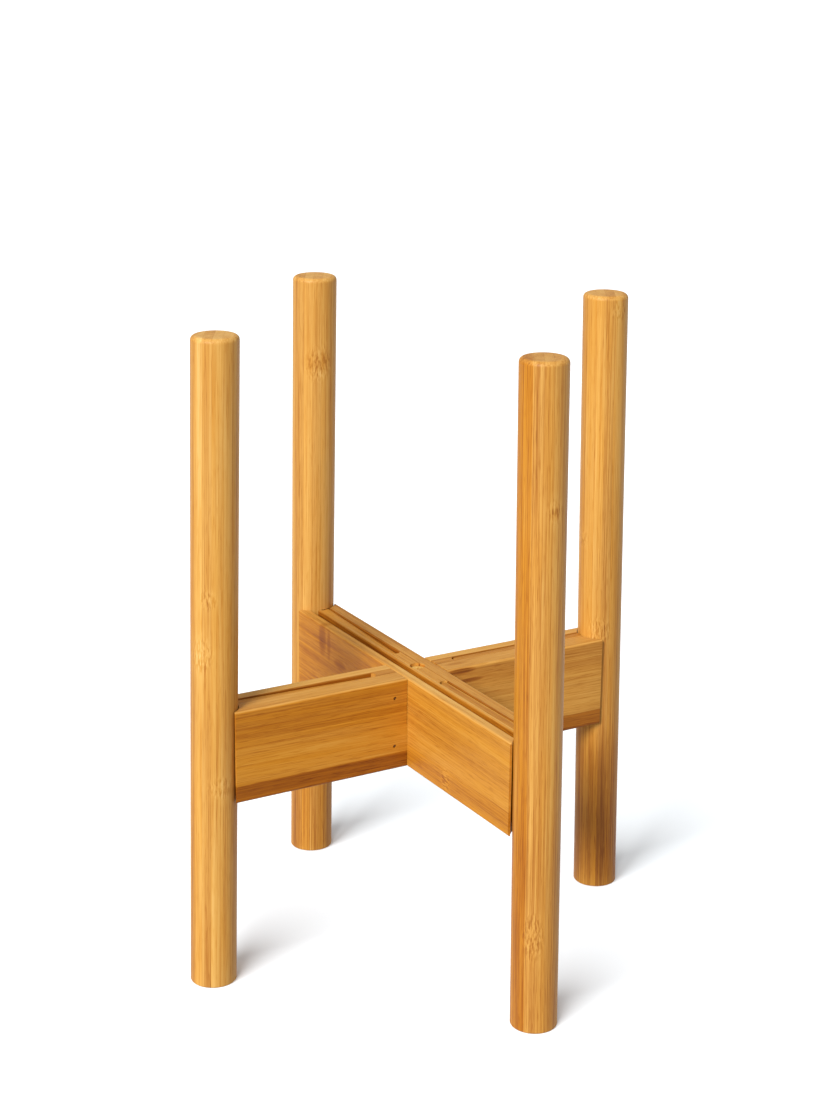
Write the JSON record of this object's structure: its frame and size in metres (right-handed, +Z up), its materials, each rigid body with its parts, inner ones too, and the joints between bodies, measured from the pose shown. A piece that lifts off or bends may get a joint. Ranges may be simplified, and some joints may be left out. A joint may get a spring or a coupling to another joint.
{
  "type": "adjustable plant stand",
  "caption": "Bamboo plant stand: crossed beams in a half-lap joint carry round legs on sliders that pull straight out, so the legs stand round the pot they hold.",
  "frame": {"origin": "on the floor, under the middle of the cross", "axes": "+Z up; +X along the lower beam towards the right leg; +Y along the upper beam towards the back leg"},
  "size_m": [0.3108, 0.3108, 0.4],
  "materials": {
    "bamboo_leg": "honey bamboo, satin lacquer",
    "bamboo_board": "honey laminated bamboo, satin lacquer",
    "bamboo_core": "laminated bamboo, thin lacquer",
    "bamboo_pin": "bare bamboo dowel",
    "steel": "plain steel",
    "yellow_steel": "steel, yellow zinc plate"
  },
  "bodies": {
    "cross": {"x_beam_thick_board": "bamboo_board", "x_beam_thin_board": "bamboo_board", "x_beam_core": "bamboo_core", "y_beam_thick_board": "bamboo_board", "y_beam_thin_board": "bamboo_board", "y_beam_core": "bamboo_core", "stop_pin_front_inner": "bamboo_pin", "stop_pin_front_outer": "bamboo_pin", "stop_pin_back_inner": "bamboo_pin", "stop_pin_back_outer": "bamboo_pin", "stop_pin_left_inner": "bamboo_pin", "stop_pin_left_outer": "bamboo_pin", "stop_pin_right_inner": "bamboo_pin", "stop_pin_right_outer": "bamboo_pin", "brad_front_upper": "steel", "brad_front_lower": "steel", "brad_back_upper": "steel", "brad_back_lower": "steel", "brad_left_upper": "steel", "brad_left_lower": "steel", "brad_right_upper": "steel", "brad_right_lower": "steel", "lap_screw": "yellow_steel"},
    "front_leg": {"leg_front": "bamboo_leg", "slider_front": "bamboo_core"},
    "back_leg": {"leg_back": "bamboo_leg", "slider_back": "bamboo_core"},
    "left_leg": {"leg_left": "bamboo_leg", "slider_left": "bamboo_core"},
    "right_leg": {"leg_right": "bamboo_leg", "slider_right": "bamboo_core"}
  },
  "joints": [
    {"name": "front_leg_slide", "type": "slide", "parent": "cross", "child": "front_leg", "axis": [0, -1, 0], "range_m": [0, 0.035]},
    {"name": "back_leg_slide", "type": "slide", "parent": "cross", "child": "back_leg", "axis": [0, 1, 0], "range_m": [0, 0.035]},
    {"name": "left_leg_slide", "type": "slide", "parent": "cross", "child": "left_leg", "axis": [-1, 0, 0], "range_m": [0, 0.035]},
    {"name": "right_leg_slide", "type": "slide", "parent": "cross", "child": "right_leg", "axis": [1, 0, 0], "range_m": [0, 0.035]}
  ]
}
